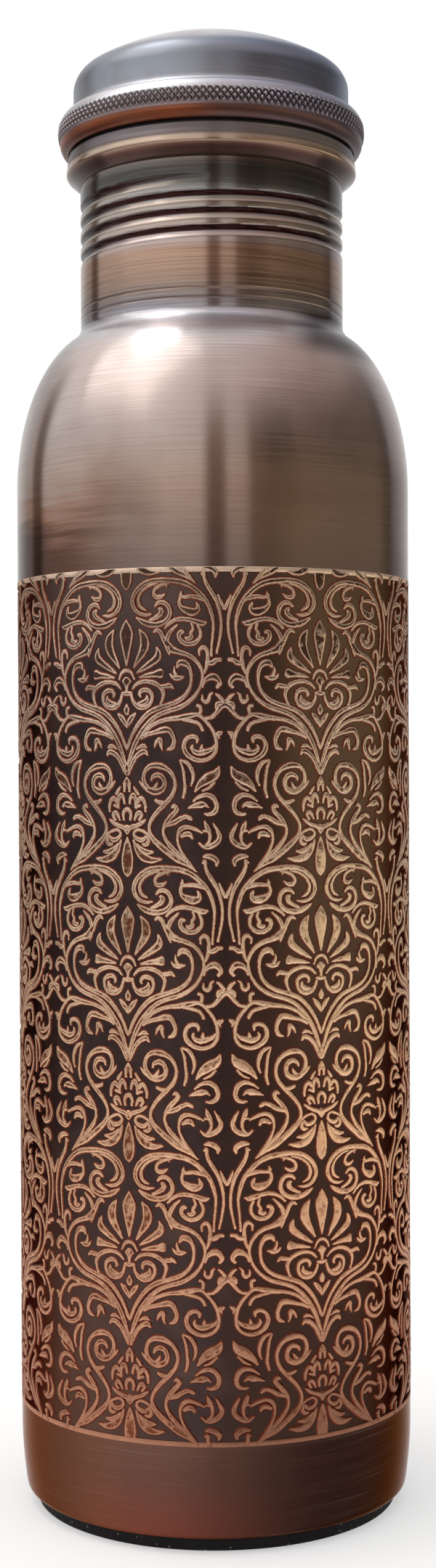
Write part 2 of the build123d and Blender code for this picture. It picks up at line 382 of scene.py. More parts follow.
# Etched copper blackened with liver of sulphur: the film is dark brown, still glossy, and shows
# red-brown copper where it is thin. Light and shade are painted into it: lighter on the lower left
# and towards the top of the band, darker low down on the front's right. The acid leaves fine pits.
ETCH_GRAIN = 0.5
CLOUD_SIZE = 9.0
blackened, tree, metal = new_finish("etched_blackened_copper")
place = put(tree, "TexCoord").outputs["Object"]
axes = put(tree, "SeparateXYZ", {0: place}).outputs
pits = put(tree, "TexNoise", {"Vector": place, "Scale": 1 / (ETCH_GRAIN * MM), "Detail": 3.0}).outputs["Fac"]
cloud = put(
    tree, "TexNoise", {"Vector": place, "Scale": 1 / (CLOUD_SIZE * MM), "Detail": 4.0, "Roughness": 0.6}
).outputs["Fac"]
level = put(
    tree, "MapRange", {"Value": axes["Z"], "From Min": BAND_FOOT * MM, "From Max": BAND_TOP * MM}
).outputs["Result"]
colour = blend(tree, tone("#413433"), tone("#51403b"), [(cloud, 0.45, 0.7)])
# Painted light on the lower left of the band.
low = (axes["Z"], 70 * MM, 20 * MM)
left_side = (axes["X"], 0.0, -24 * MM, "SMOOTHSTEP")
colour = blend(tree, colour, tone("#664639"), [low, left_side], 0.6)
# Painted shade on the front's right: the colour by share of the band's height, darker low down and
# lighter towards the top.
shades = (
    (0.0, "#3c2a22"), (0.17, "#402c25"), (0.27, "#3e2d29"), (0.37, "#44312c"), (0.48, "#4a3733"),
    (0.68, "#4c3a35"), (0.89, "#51413a"), (0.96, "#63504a"),
)
film_and_painted_light = fill_ramp(put(tree, "ValToRGB", {"Fac": level}), shades)
right_side = (axes["X"], -6 * MM, 8 * MM, "SMOOTHSTEP")
colour = blend(tree, colour, film_and_painted_light, [right_side], 0.85)
# Painted light: lighter at the top of the band on the far right, and along its upper edge on the left.
high = (level, 0.42, 0.96)
far_right = (axes["X"], 8 * MM, 17 * MM, "SMOOTHSTEP")
colour = blend(tree, colour, tone("#765f4e"), [high, far_right], 0.9)
upper_edge = (level, 0.88, 0.96)
left_side = (axes["X"], 6 * MM, -4 * MM, "SMOOTHSTEP")
colour = blend(tree, colour, tone("#6c5750"), [upper_edge, left_side], 0.6)
dull = put(
    tree, "MapRange", {"Value": pits, "From Min": 0.3, "From Max": 0.7, "To Min": 0.27, "To Max": 0.38}
).outputs["Result"]
pitted = put(tree, "Bump", {"Height": pits, "Strength": 0.25, "Distance": 0.03 * MM}).outputs["Normal"]
wire(tree, metal, {
    "Base Color": colour, "Roughness": dull, "Normal": pitted,
    "Metallic": 1.0, "Specular Tint": tone("#907060"),
})

# Foot: the same brushed copper with a thicker, red-brown film, which dulls what it mirrors at
# its edges.
heavy_film = antique.copy()
heavy_film.name = "lathe_brushed_red_brown_copper"
heavy_film.node_tree.nodes["Principled BSDF"].inputs["Specular Tint"].default_value = tone("#dfc2b6")

for face in shell.faces:
    height = face.calc_center_median().z / MM
    face.material_index = int(BAND_FOOT < height < BAND_TOP) + 2 * int(height <= BAND_FOOT)
bottle_shell = finish_piece(shell, "bottle_shell", "bottle", antique)
bottle_shell.data.materials.append(blackened)
bottle_shell.data.materials.append(heavy_film)
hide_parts("bottle_body")

# Base disc: a pressed copper disc that closes the barrel, brazed on the turned-in foot. It is the
# same brushed and browned copper, and keeps the shape of the solid.
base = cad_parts["base_disc"]
base.data.materials.clear()
base.data.materials.append(antique)

# Damask ornament: copper that the acid resist kept, standing proud of the etched ground, with a
# soft edge. One palmette motif with its ogee frame, scrolls, pine cone and leaves is drawn as
# half a repeat, mirrored, and laid round the barrel: strokes of (across, up, width) in millimetres
# from the palmette's axis and tip.
HALF_REPEAT = 17.725
REPEAT_HEIGHT = 50.3
TIP_HEIGHT = 63.6
FRONT_MOTIFS = (-15.65, 19.8)  # where the two front motifs' axes are, along the barrel's face
BACK_MOTIFS = 5
SKIRT = 0.24  # width of the sloping edge that the acid leaves, painted dark as its shadow
STROKE_RELIEF = ETCH_DEPTH + 0.02
LIFT_STEP = 0.0008  # each stroke lies this much higher than the last, so that none share a plane
THINNEST_STROKE = 0.16
REPEATS_UP = 4
STROKE_WEIGHT = 0.93  # the acid eats a little under the resist, so the strokes come out thinner
ORNAMENT = {
    "drop_petal": [
        [(0, 12.4, 0.2), (0, 11.4, 1.1), (0, 9.9, 2.0), (0, 8.3, 2.4), (0, 6.8, 2.1), (0, 6.0, 1.4),
         (0, 5.5, 0.3)],
    ],
    "palmette": [
        [(0, 0.2, 0.2), (0, -0.7, 1.5), (0, -2.0, 2.7), (0, -3.2, 2.5), (0, -4.6, 1.9), (0, -5.9, 1.2),
         (0, -7.0, 0.7), (0, -7.8, 0.2)],
        [(1.4, -8.2, 0.3), (2.1, -7.0, 0.9), (3.0, -5.6, 1.5), (3.5, -4.2, 1.8), (3.3, -2.8, 1.5),
         (2.5, -1.5, 0.3)],
        [(2.0, -9.1, 0.3), (3.3, -8.3, 0.9), (4.7, -7.4, 1.2), (5.8, -6.5, 1.4), (6.0, -5.6, 1.0),
         (5.7, -4.7, 0.3)],
        [(2.4, -9.9, 0.3), (3.8, -9.6, 0.8), (5.3, -9.4, 1.1), (6.3, -9.25, 1.7), (6.7, -9.2, 1.5)],
        [(-1.5, -10.2, 0.3), (-1.1, -9.3, 0.5), (-0.6, -8.8, 0.6), (0, -8.65, 0.6), (0.6, -8.8, 0.6),
         (1.1, -9.3, 0.5), (1.5, -10.2, 0.3)],
        [(0, -9.95, 0.9), (0, -10.5, 1.9), (0, -11.1, 1.0), (0, -11.8, 0.5), (0, -12.5, 0.7)],
        [(-1.0, -12.6, 0.5), (0, -12.7, 0.8), (1.0, -12.6, 0.5)],
        [(0, -14.6, 0.2), (0, -15.5, 1.2), (0, -16.3, 0.7)],
        [(1.7, -16.2, 0.3), (1.1, -16.8, 0.9), (0.5, -17.6, 0.9), (0, -18.6, 0.3)],
    ],
    "volutes": [
        [(1.1, -11.9, 0.3), (2.0, -11.0, 0.6), (3.4, -10.6, 0.7), (4.9, -10.8, 0.8), (6.2, -11.5, 0.8),
         (6.9, -12.6, 0.7), (6.7, -13.9, 0.5), (6.3, -14.8, 0.5)],
        [(6.4, -11.6, 0.7), (7.4, -11.5, 0.8), (8.1, -11.4, 0.8), (8.7, -11.9, 0.3)],
        [(0.9, -12.9, 0.5), (1.2, -13.9, 0.6), (1.9, -14.8, 0.8), (3.0, -15.2, 0.8), (4.2, -14.8, 0.7),
         (4.8, -13.8, 0.6), (4.7, -12.7, 0.7), (3.8, -12.1, 0.8), (2.9, -12.2, 0.7), (2.5, -12.8, 0.6),
         (2.7, -13.3, 0.3)],
        [(3.9, -13.1, 0.3), (3.8, -13.9, 0.9), (3.0, -14.4, 0.9), (2.1, -14.4, 0.4)],
    ],
    "c_scroll": [
        [(4.8, 1.15, 0.2), (3.6, 1.0, 0.6), (2.3, 1.4, 0.7), (1.35, 2.6, 0.8), (1.3, 4.0, 0.8),
         (2.2, 5.5, 0.9), (4.0, 6.7, 0.9), (6.2, 7.05, 0.9), (8.4, 6.9, 1.0), (10.3, 6.6, 1.0),
         (12.0, 5.8, 0.9), (13.5, 4.5, 0.9), (14.7, 3.0, 0.8), (15.4, 1.2, 0.7), (15.75, -0.6, 0.5),
         (15.65, -2.5, 0.4), (15.45, -4.5, 0.4), (15.35, -6.3, 0.4)],
        [(6.0, 6.5, 0.4), (4.5, 6.1, 0.5), (3.1, 5.2, 0.5), (2.35, 3.9, 0.6), (2.5, 2.8, 0.7),
         (3.0, 2.2, 0.6), (3.8, 1.8, 0.3)],
        [(8.0, 6.4, 0.3), (6.5, 6.1, 0.6), (5.5, 5.5, 0.6), (5.2, 4.7, 0.6), (5.6, 4.1, 0.8),
         (6.5, 4.1, 0.7), (7.3, 4.6, 0.2)],
        [(7.3, 6.4, 0.5), (7.6, 5.8, 0.2)],
        [(5.4, 2.4, 0.4), (6.0, 3.0, 0.7), (7.0, 3.1, 0.8), (7.9, 2.3, 0.8), (8.1, 1.0, 0.8),
         (7.3, -0.2, 0.9), (5.8, -0.75, 1.0), (4.2, -0.6, 1.1), (2.9, -0.05, 0.9), (1.9, 0.6, 0.3)],
        [(6.1, 2.1, 0.5), (6.6, 1.7, 0.9), (6.3, 1.0, 0.9), (5.4, 0.4, 0.7), (4.4, 0, 0.5)],
        [(14.3, 3.4, 0.5), (13.2, 3.9, 0.8), (11.8, 4.1, 0.7), (10.6, 4.0, 0.6), (10.1, 4.3, 0.7),
         (10.2, 4.95, 0.2)],
        [(10.1, 4.2, 0.5), (9.8, 3.2, 0.6), (10.1, 2.3, 0.8), (11.0, 1.7, 1.3), (12.1, 1.4, 1.5),
         (13.0, 1.7, 1.0), (13.1, 2.4, 0.7), (12.8, 3.0, 0.3)],
    ],
    "small_scroll": [
        [(7.2, -1.4, 0.4), (8.0, -0.6, 0.6), (9.1, 0, 0.7), (10.4, 0.2, 0.8), (11.8, 0, 0.8),
         (13.0, -0.4, 1.0), (13.9, -0.6, 0.9), (14.6, -0.4, 0.3)],
        [(13.0, -0.9, 0.5), (13.5, -2.0, 0.6), (13.4, -3.1, 0.6), (12.5, -4.0, 0.8), (11.2, -4.2, 0.8),
         (10.1, -3.6, 0.8), (9.7, -2.7, 0.8), (10.0, -2.1, 0.8), (10.6, -2.1, 0.5)],
        [(11.9, -0.5, 0.4), (12.2, -1.5, 0.5), (11.8, -2.3, 0.6), (11.9, -3.0, 0.8), (11.3, -3.3, 0.8),
         (10.8, -3.1, 0.4)],
        [(5.1, -2.1, 0.3), (5.7, -1.7, 0.7), (6.4, -2.1, 0.8), (6.9, -3.1, 0.8), (7.5, -4.0, 1.2),
         (8.4, -5.0, 1.3), (9.4, -5.4, 1.0)],
        [(7.5, -3.7, 0.8), (7.9, -2.5, 0.8), (8.6, -1.6, 0.6), (9.5, -0.8, 0.3)],
        [(7.6, -4.6, 0.8), (7.9, -5.4, 0.7), (8.0, -6.0, 0.2)],
    ],
    "ogee": [
        [(8.6, -5.2, 1.1), (9.8, -5.6, 0.9), (11.3, -6.1, 0.8), (12.6, -7.0, 0.7), (13.6, -8.5, 0.6),
         (13.85, -10.0, 0.5), (13.4, -11.7, 0.5), (12.5, -13.2, 0.6), (11.2, -14.4, 0.7), (9.5, -15.3, 0.8),
         (7.5, -15.9, 0.8), (5.6, -16.7, 0.8), (4.0, -18.0, 0.8), (2.7, -19.6, 0.9), (1.6, -21.5, 0.9),
         (0.9, -23.2, 0.8), (0.4, -24.6, 0.6), (0, -25.2, 0.4)],
        [(9.3, -8.3, 0.3), (9.8, -7.5, 1.0), (10.7, -7.5, 1.1), (11.4, -8.1, 0.8), (11.8, -9.2, 0.6),
         (11.85, -10.6, 0.5), (11.5, -12.0, 0.6), (10.6, -13.3, 0.7), (9.3, -14.2, 0.8), (7.7, -14.8, 0.8),
         (6.0, -15.3, 0.9), (4.4, -16.0, 0.9), (3.0, -17.2, 0.8), (1.8, -18.7, 0.7), (0.9, -20.3, 0.6),
         (0.3, -21.8, 0.6), (0, -22.5, 0.3)],
        [(8.1, -9.4, 0.2), (8.7, -10.0, 0.7), (9.6, -10.1, 0.9), (10.6, -9.9, 0.2)],
        [(8.9, -8.2, 0.2), (8.9, -9.0, 0.5), (9.3, -9.8, 0.6)],
        [(13.3, -6.2, 0.3), (13.3, -5.3, 0.5), (13.9, -4.8, 0.7), (14.5, -5.1, 0.7), (14.75, -6.1, 0.6),
         (14.7, -7.2, 0.7), (14.5, -8.3, 0.6), (14.1, -9.3, 0.4)],
        [(14.6, -7.5, 0.6), (15.5, -7.5, 0.9), (16.3, -7.0, 0.7), (17.1, -6.95, 0.6)],
        [(13.8, -11.7, 0.4), (14.2, -10.7, 0.6), (14.9, -10.1, 1.0), (15.8, -9.9, 1.2), (16.5, -10.4, 1.0),
         (16.8, -11.1, 0.8), (16.3, -11.8, 0.5)],
        [(13.8, -13.1, 0.3), (13.8, -13.9, 0.5), (14.4, -14.3, 0.7), (14.9, -13.9, 0.6), (15.1, -13.1, 0.5),
         (15.6, -12.7, 0.2)],
        [(12.8, -14.9, 0.5), (13.4, -15.1, 0.6), (13.5, -15.8, 0.6), (13.3, -16.5, 0.6)],
        [(2.9, -20.0, 0.7), (4.4, -18.6, 0.7), (5.8, -17.8, 0.7), (7.5, -17.3, 0.7), (9.3, -17.1, 0.9),
         (11.0, -16.8, 1.0), (12.6, -16.5, 0.7), (13.5, -16.8, 0.6), (14.6, -17.9, 0.6), (15.5, -19.1, 0.6),
         (16.1, -20.6, 0.6), (16.2, -22.0, 0.6), (15.9, -23.2, 0.6), (15.0, -24.1, 0.6), (13.6, -24.5, 0.7),
         (12.2, -24.2, 0.8), (11.0, -23.3, 0.9), (10.5, -22.0, 0.8), (10.9, -20.8, 0.7), (11.9, -20.3, 0.7),
         (12.8, -20.6, 0.7), (12.8, -21.4, 0.3)],
        [(10.2, -17.3, 0.5), (11.8, -17.6, 0.6), (13.0, -18.0, 0.6), (13.6, -18.7, 0.6), (13.8, -19.3, 0.5)],
        [(14.2, -17.2, 0.5), (15.3, -17.0, 0.6), (16.2, -16.2, 0.7), (17.0, -15.1, 1.0), (17.7, -14.7, 1.1)],
        [(16.1, -12.9, 0.3), (16.8, -13.4, 0.6), (17.4, -14.2, 0.7)],
        [(16.2, -15.5, 0.4), (16.4, -14.7, 0.8), (17.2, -14.5, 0.8)],
        [(16.1, -20.0, 0.5), (16.7, -19.8, 0.8), (17.2, -19.5, 0.3)],
        [(16.5, -19.9, 0.7), (16.7, -20.7, 0.2)],
        [(16.0, -21.8, 0.3), (15.4, -22.5, 0.6), (14.5, -22.9, 0.9), (13.2, -23.2, 1.0), (12.3, -22.9, 0.8),
         (11.9, -22.3, 0.6), (12.1, -21.8, 0.3)],
        [(13.7, -21.8, 0.3), (13.6, -22.6, 0.8)],
        [(2.7, -20.5, 0.7), (3.9, -19.9, 0.7), (5.4, -19.5, 0.8), (6.9, -19.1, 1.1), (7.9, -19.2, 1.0),
         (8.5, -20.1, 0.8), (8.8, -21.2, 0.7), (8.4, -22.2, 0.8), (7.5, -22.6, 0.3)],
        [(5.2, -22.1, 0.2), (5.6, -21.2, 0.6), (6.3, -20.8, 0.8), (6.4, -21.8, 0.6), (6.7, -22.7, 0.2)],
        [(1.8, -22.5, 0.2), (2.6, -22.0, 0.6), (3.3, -21.9, 0.7), (3.8, -22.2, 0.3)],
        [(0.3, -26.6, 0.6), (0.9, -25.2, 0.8), (1.6, -24.0, 0.8), (2.6, -23.1, 0.9), (3.5, -22.9, 0.9),
         (4.0, -23.5, 0.3)],
        [(0, -24.9, 0.5), (0, -25.8, 1.3), (0, -26.5, 1.2), (0, -26.9, 0.9)],
    ],
    "spiral": [
        [(4.6, -28.0, 0.3), (4.9, -27.3, 0.7), (5.8, -26.95, 0.9), (6.7, -27.4, 0.9), (7.05, -28.5, 0.8),
         (6.6, -29.5, 1.0), (5.4, -29.95, 1.2), (4.1, -29.5, 1.1), (3.4, -28.5, 0.9), (3.2, -27.3, 0.7),
         (3.6, -26.1, 0.7), (4.6, -25.4, 0.9), (6.2, -25.4, 1.1), (7.7, -26.1, 0.8), (8.6, -27.2, 0.7),
         (8.95, -28.7, 0.6), (8.5, -30.3, 0.7), (7.5, -31.6, 0.8), (6.3, -32.8, 0.8), (5.2, -34.0, 0.7),
         (4.4, -35.3, 0.6), (4.2, -36.5, 0.6), (4.7, -37.9, 0.9), (6.1, -39.3, 1.1), (7.7, -40.6, 1.1),
         (9.2, -41.7, 1.1), (10.6, -42.4, 0.9), (11.7, -43.1, 0.6), (12.7, -43.9, 0.2)],
        [(2.4, -28.1, 0.3), (3.1, -28.9, 0.6), (3.9, -29.6, 0.6)],
        [(5.8, -28.3, 0.2), (5.5, -28.9, 0.6), (5.0, -29.4, 0.5)],
        [(5.3, -31.4, 0.5), (6.2, -31.8, 0.7), (7.1, -31.8, 0.5)],
        [(8.3, -32.7, 0.3), (8.7, -32.4, 0.7), (9.2, -32.8, 0.8), (8.9, -33.5, 0.8), (8.1, -34.3, 0.9),
         (7.3, -35.4, 0.9), (6.8, -36.4, 0.5), (6.9, -37.6, 0.6), (7.7, -39.0, 0.8), (8.7, -40.1, 0.8),
         (9.8, -41.1, 0.7), (10.7, -42.1, 0.5)],
        [(7.3, -35.7, 0.7), (8.7, -35.3, 0.9), (9.9, -34.6, 0.8), (10.9, -34.3, 0.7), (11.6, -34.6, 0.7),
         (11.8, -34.9, 0.3)],
        [(13.7, -37.1, 0.3), (12.5, -36.5, 0.6), (11.0, -36.1, 0.7), (9.9, -36.5, 0.8), (9.35, -37.6, 0.5),
         (9.4, -38.9, 0.45), (9.9, -40.2, 0.5), (10.6, -41.5, 0.7), (11.5, -42.7, 0.7), (12.5, -43.8, 0.3)],
        [(9.9, -37.8, 0.5), (10.7, -37.35, 0.9), (11.5, -37.4, 0.9), (11.95, -38.1, 0.3)],
    ],
    "acanthus": [
        [(5.1, -38.8, 0.3), (4.2, -37.6, 0.4), (3.2, -36.9, 0.5), (2.1, -36.6, 0.5), (1.4, -37.0, 0.5),
         (1.4, -37.7, 0.6), (2.2, -38.3, 0.8), (3.1, -38.3, 0.8), (3.7, -37.5, 0.2)],
        [(2.9, -39.1, 0.4), (3.6, -39.2, 0.7), (4.05, -38.6, 0.7), (3.8, -37.7, 0.4)],
        [(1.2, -38.4, 0.3), (2.0, -40.2, 1.1), (3.2, -41.4, 1.5), (4.8, -41.9, 1.1), (6.5, -41.7, 0.3)],
        [(1.8, -39.1, 0.3), (2.8, -40.0, 0.8), (3.8, -40.5, 0.9), (4.9, -40.5, 0.4)],
    ],
    "pinecone": [
        [(0, -27.4, 0.3), (0, -28.1, 1.3), (0, -28.8, 1.4)],
        [(0.45, -28.4, 0.7), (0.5, -29.9, 0.4)],
        [(1.3, -29.1, 0.3), (1.8, -29.8, 0.6), (2.2, -30.4, 0.5)],
        [(0.5, -32.0, 0.4), (0.7, -31.0, 0.6), (1.2, -30.5, 0.8), (1.7, -31.3, 0.7), (1.7, -32.8, 0.5)],
        [(2.0, -31.8, 0.6), (2.5, -31.1, 0.8), (3.1, -31.3, 0.7), (3.5, -32.3, 0.6), (3.5, -33.4, 0.4)],
        [(1.9, -32.5, 0.6), (2.7, -32.3, 0.4)],
        [(-0.6, -34.9, 0.4), (-0.75, -33.9, 0.6), (-0.45, -33.2, 0.7), (0, -33.0, 0.7), (0.45, -33.2, 0.7),
         (0.75, -33.9, 0.6), (0.6, -34.9, 0.4)],
        [(1.4, -34.9, 0.3), (1.9, -33.9, 0.7), (2.4, -33.6, 0.8), (2.8, -34.1, 0.6), (2.3, -34.9, 0.5)],
        [(0, -35.9, 0.9), (0, -36.6, 1.6), (0, -37.4, 0.2)],
        [(0, -36.5, 0.9), (1.0, -36.1, 0.8), (2.2, -35.7, 0.7), (3.0, -35.2, 0.6), (3.6, -34.8, 0.2)],
    ],
    "leaves": [
        [(9.8, -24.5, 0.3), (10.35, -26.0, 0.5), (10.6, -28.0, 0.5), (10.7, -29.5, 0.6), (10.3, -31.0, 0.4)],
        [(9.9, -24.4, 0.3), (11.2, -25.0, 0.7), (12.0, -26.4, 0.7), (12.1, -27.8, 0.5), (11.7, -28.9, 0.3)],
        [(12.4, -29.9, 0.3), (13.3, -28.7, 1.2), (14.6, -27.7, 1.9), (16.0, -26.9, 1.6), (16.7, -25.6, 0.3)],
        [(13.7, -29.8, 0.3), (14.8, -29.3, 0.5), (15.9, -28.3, 0.4)],
        [(12.1, -31.6, 0.3), (13.2, -30.8, 0.6), (14.6, -30.5, 0.8), (15.8, -31.2, 0.9), (16.2, -32.5, 0.8),
         (15.8, -33.5, 0.8), (14.9, -33.9, 0.6), (14.1, -33.8, 0.3)],
        [(11.2, -32.8, 0.2), (12.3, -32.4, 0.8), (13.4, -32.2, 1.2), (14.2, -32.2, 0.7), (14.8, -32.7, 0.2)],
        [(15.6, -35.5, 0.2), (16.2, -36.5, 0.6), (16.7, -37.7, 0.8), (16.2, -38.8, 0.9), (15.0, -39.5, 0.9),
         (14.0, -39.6, 0.6), (13.1, -38.9, 0.3)],
        [(14.1, -35.1, 0.2), (14.5, -36.1, 0.9), (15.0, -37.4, 0.6), (14.9, -38.6, 0.5), (14.2, -39.4, 0.4)],
        [(13.8, -36.8, 0.3), (14.6, -36.8, 0.5)],
    ],
    "axis_stem": [
        [(13.7, -42.4, 0.4), (14.2, -42.0, 0.5), (14.2, -42.9, 0.6), (14.6, -44.1, 0.7), (15.4, -45.4, 0.8),
         (16.3, -47.0, 0.7), (16.8, -48.6, 0.6), (17.1, -50.4, 0.5), (17.05, -52.4, 0.5),
         (16.7, -54.3, 0.4), (16.3, -56.1, 0.4)],
        [(13.8, -41.3, 0.4), (14.7, -41.2, 0.9), (15.6, -41.5, 1.0), (16.2, -42.1, 0.9), (16.1, -42.9, 0.3)],
        [(16.6, -46.0, 0.3), (17.2, -47.4, 0.6), (17.7, -48.4, 0.6)],
    ],
}


def smooth_stroke(points, steps=4):
    """The stroke's points with smooth curves between them."""
    before = [2 * a - b for a, b in zip(points[0], points[1])]
    after = [2 * a - b for a, b in zip(points[-1], points[-2])]
    chain = [before, *points, after]
    path = []
    for p, q, r, s in zip(chain, chain[1:], chain[2:], chain[3:]):
        for t in [i / steps for i in range(steps)]:
            path.append([])
            for a, b, c, d in zip(p, q, r, s):
                square, cube = 2 * a - 5 * b + 4 * c - d, 3 * b - a - 3 * c + d
                path[-1].append(0.5 * (2 * b + (c - a) * t + square * t * t + cube * t**3))
    return path + [list(points[-1])]


def lay_stroke(bm, inset, points, lift):
    """Bends a flat strip along one stroke: a raised top with a skirt all round it, painted dark as shadow."""
    path = smooth_stroke(points)
    rows = len(path) + 2
    strip = bmesh.ops.create_grid(bm, x_segments=4, y_segments=rows - 1, size=1)
    for v in strip["verts"]:
        column, row = round(2 * v.co.x + 2), round((v.co.y + 1) / 2 * (rows - 1)) - 1
        at = min(max(row, 0), len(path) - 1)
        before, after = path[max(at - 1, 0)], path[min(at + 1, len(path) - 1)]
        run = hypot(after[0] - before[0], after[1] - before[1]) or 1
        along = ((after[0] - before[0]) / run, (after[1] - before[1]) / run)
        half = max(path[at][2] * STROKE_WEIGHT, THINNEST_STROKE) / 2
        side = (-half - SKIRT, -half, 0, half, half + SKIRT)[column]
        past = (row - at) * SKIRT
        edge = column in (0, 4) or past
        v[inset] = -SKIRT if edge else (0 if column in (1, 3) else half)
        x, z = path[at][0] - along[1] * side, path[at][1] + along[0] * side
        v.co = (x + along[0] * past, z + along[1] * past, -0.02 if edge else STROKE_RELIEF + lift)


resist, tree, metal = new_finish("resist_polished_copper")
motif_meshes = {}
stroke_count = 0
for family, strokes in ORNAMENT.items():
    motif = bmesh.new()
    inset = motif.verts.layers.float.new("inset")
    for points in strokes:
        stroke_count += 1
        lift = LIFT_STEP * stroke_count
        lay_stroke(motif, inset, points, lift)
        on_axis = abs(sum(x for x, z, w in points)) < 0.1
        if not on_axis:
            mirrored = [(-x, z, w) for x, z, w in points]
            lay_stroke(motif, inset, mirrored, lift + LIFT_STEP / 2)
    whole = motif.verts[:] + motif.edges[:] + motif.faces[:]
    bmesh.ops.translate(motif, verts=motif.verts, vec=(0, TIP_HEIGHT - REPEAT_HEIGHT, 0))
    lowest = motif.faces[:] if family == "c_scroll" else []  # the lowest row of these is left out
    for repeat in range(1, REPEATS_UP + 1):
        copied = bmesh.ops.duplicate(motif, geom=whole)["geom"]
        raised = [g for g in copied if isinstance(g, bmesh.types.BMVert)]
        bmesh.ops.translate(motif, verts=raised, vec=(0, repeat * REPEAT_HEIGHT, 0))
    bmesh.ops.delete(motif, geom=lowest, context="FACES")
    for height, way in ((BAND_FOOT + 0.1, -1), (BAND_TOP - 0.1, 1)):
        whole = motif.verts[:] + motif.edges[:] + motif.faces[:]
        at, outwards = (0, height, 0), (0, way, 0)
        bmesh.ops.bisect_plane(motif, geom=whole, plane_co=at, plane_no=outwards, clear_outer=True)
    motif_meshes[family] = bpy.data.meshes.new(family)
    motif.to_mesh(motif_meshes[family])
    motif.free()

front_edge = FRONT_MOTIFS[1] + HALF_REPEAT
back_step = (2 * pi * BODY_RADIUS - 4 * HALF_REPEAT) / BACK_MOTIFS
# Each motif's axis along the barrel's face, and its width as a share of a front motif's.
places = [(axis, 1.0) for axis in FRONT_MOTIFS]
places += [(front_edge + back_step * (i + 0.5), back_step / (2 * HALF_REPEAT)) for i in range(BACK_MOTIFS)]
groups = {
    "damask_palmettes": ("drop_petal", "palmette", "volutes", "axis_stem"),
    "damask_scrolls": ("c_scroll", "small_scroll"),
    "damask_ogees": ("ogee",),
    "damask_pine_cones": ("spiral", "pinecone"),
    "damask_leaves": ("acanthus", "leaves"),
}
for name, families in groups.items():
    ornament = bmesh.new()
    for axis, squeeze in places:
        for family in families:
            known = len(ornament.verts)
            ornament.from_mesh(motif_meshes[family])
            ornament.verts.ensure_lookup_table()
            for v in ornament.verts[known:]:
                angle = (axis + squeeze * v.co.x) / BODY_RADIUS - pi / 2
                out = (etched + v.co.z) * MM
                v.co = (out * cos(angle), out * sin(angle), v.co.y * MM)
    finish_piece(ornament, name, "bottle", resist, sharp=60)

# The resist kept the sheet's own polish under the strokes: bright tan copper at their rubbed edges,
# brown film left in the middle of the wide ones, and a painted dark red shadow where the acid
# undercut them. It is more golden half-way up and redder towards the foot. Painted light makes the
# left a little pinker and leaves fewer brown patches on the right, and painted shade darkens the
# lower part, most on the right.
WORN_SIZE, NIBBLE_SIZE, RUBBING_SIZE = 1.2, 0.45, 6.0
place = put(tree, "TexCoord").outputs["Object"]
axes = put(tree, "SeparateXYZ", {0: place}).outputs
from_edge = put(tree, "Attribute", attribute_name="inset").outputs["Fac"]
level = put(
    tree, "MapRange", {"Value": axes["Z"], "From Min": BAND_FOOT * MM, "From Max": BAND_TOP * MM}
).outputs["Result"]
worn = put(
    tree, "TexNoise", {"Vector": place, "Scale": 1 / (WORN_SIZE * MM), "Detail": 4.0, "Roughness": 0.65}
).outputs["Fac"]
nibble = put(
    tree, "TexNoise", {"Vector": place, "Scale": 1 / (NIBBLE_SIZE * MM), "Detail": 2.0}
).outputs["Fac"]
rubbing = put(
    tree, "TexNoise", {"Vector": place, "Scale": 1 / (RUBBING_SIZE * MM), "Detail": 4.0, "Roughness": 0.6}
).outputs["Fac"]
bitten = put(tree, "MapRange", {"Value": nibble, "To Min": 0.13, "To Max": -0.13}).outputs["Result"]
within = put(tree, "Math", {0: from_edge, 1: bitten}, operation="ADD").outputs[0]
kept = put(
    tree, "MapRange", {"Value": level, "From Min": 0.55, "From Max": 0.95, "To Max": 0.22}
).outputs["Result"]
leftwards = put(
    tree, "MapRange",
    {"Value": axes["X"], "From Min": -14 * MM, "From Max": 14 * MM, "To Min": 0.05, "To Max": -0.09}
).outputs["Result"]
patch = put(tree, "Math", {0: worn, 1: kept}, operation="ADD").outputs[0]
patch = put(tree, "Math", {0: patch, 1: leftwards}, operation="ADD").outputs[0]
patches = put(
    tree, "MapRange", {"Value": patch, "From Min": 0.42, "From Max": 0.62, "To Min": 0.2}
).outputs["Result"]
# The rubbed copper's colour by share of the band's height.
shades = (
    (0.0, "#bd8468"), (0.12, "#daa282"), (0.35, "#ffcea6"), (0.6, "#ffdfbc"), (0.85, "#fedfc6"),
    (0.99, "#eecaad"), (0.996, "#ffe2c8"),
)
colour = fill_ramp(put(tree, "ValToRGB", {"Fac": level}), shades)
# Painted light: a little pinker on the left.
colour = blend(tree, colour, tone("#cf9478"), [(axes["X"], 8 * MM, -12 * MM)], 0.12)
brown = blend(tree, tone("#7a4029"), tone("#4c342b"), [(level, 0.5, 0.9)])
middle = (within, 0.14, 0.38, "SMOOTHSTEP")
colour = blend(tree, colour, brown, [middle, patches])
towards_top = put(
    tree, "MapRange", {"Value": level, "From Min": 0.45, "From Max": 0.9, "To Min": 0.3, "To Max": 0.8}
).outputs["Result"]
border_foot = BAND_TOP - BORDER_WIDTH
off_border = put(
    tree, "MapRange",
    {"Value": axes["Z"], "From Min": border_foot * MM, "From Max": (border_foot - 0.2) * MM, "To Min": 0.25}
).outputs["Result"]
# Brown worn patches, fewer on the right as painted light there.
painted_light_right = put(
    tree, "MapRange",
    {"Value": axes["X"], "From Min": -4 * MM, "From Max": 14 * MM, "To Min": 1.05, "To Max": 0.2}
).outputs["Result"]
worn_patches_and_painted_light = [(rubbing, 0.44, 0.66), towards_top, off_border, painted_light_right]
colour = blend(tree, colour, tone("#6a4836"), worn_patches_and_painted_light, 0.75)
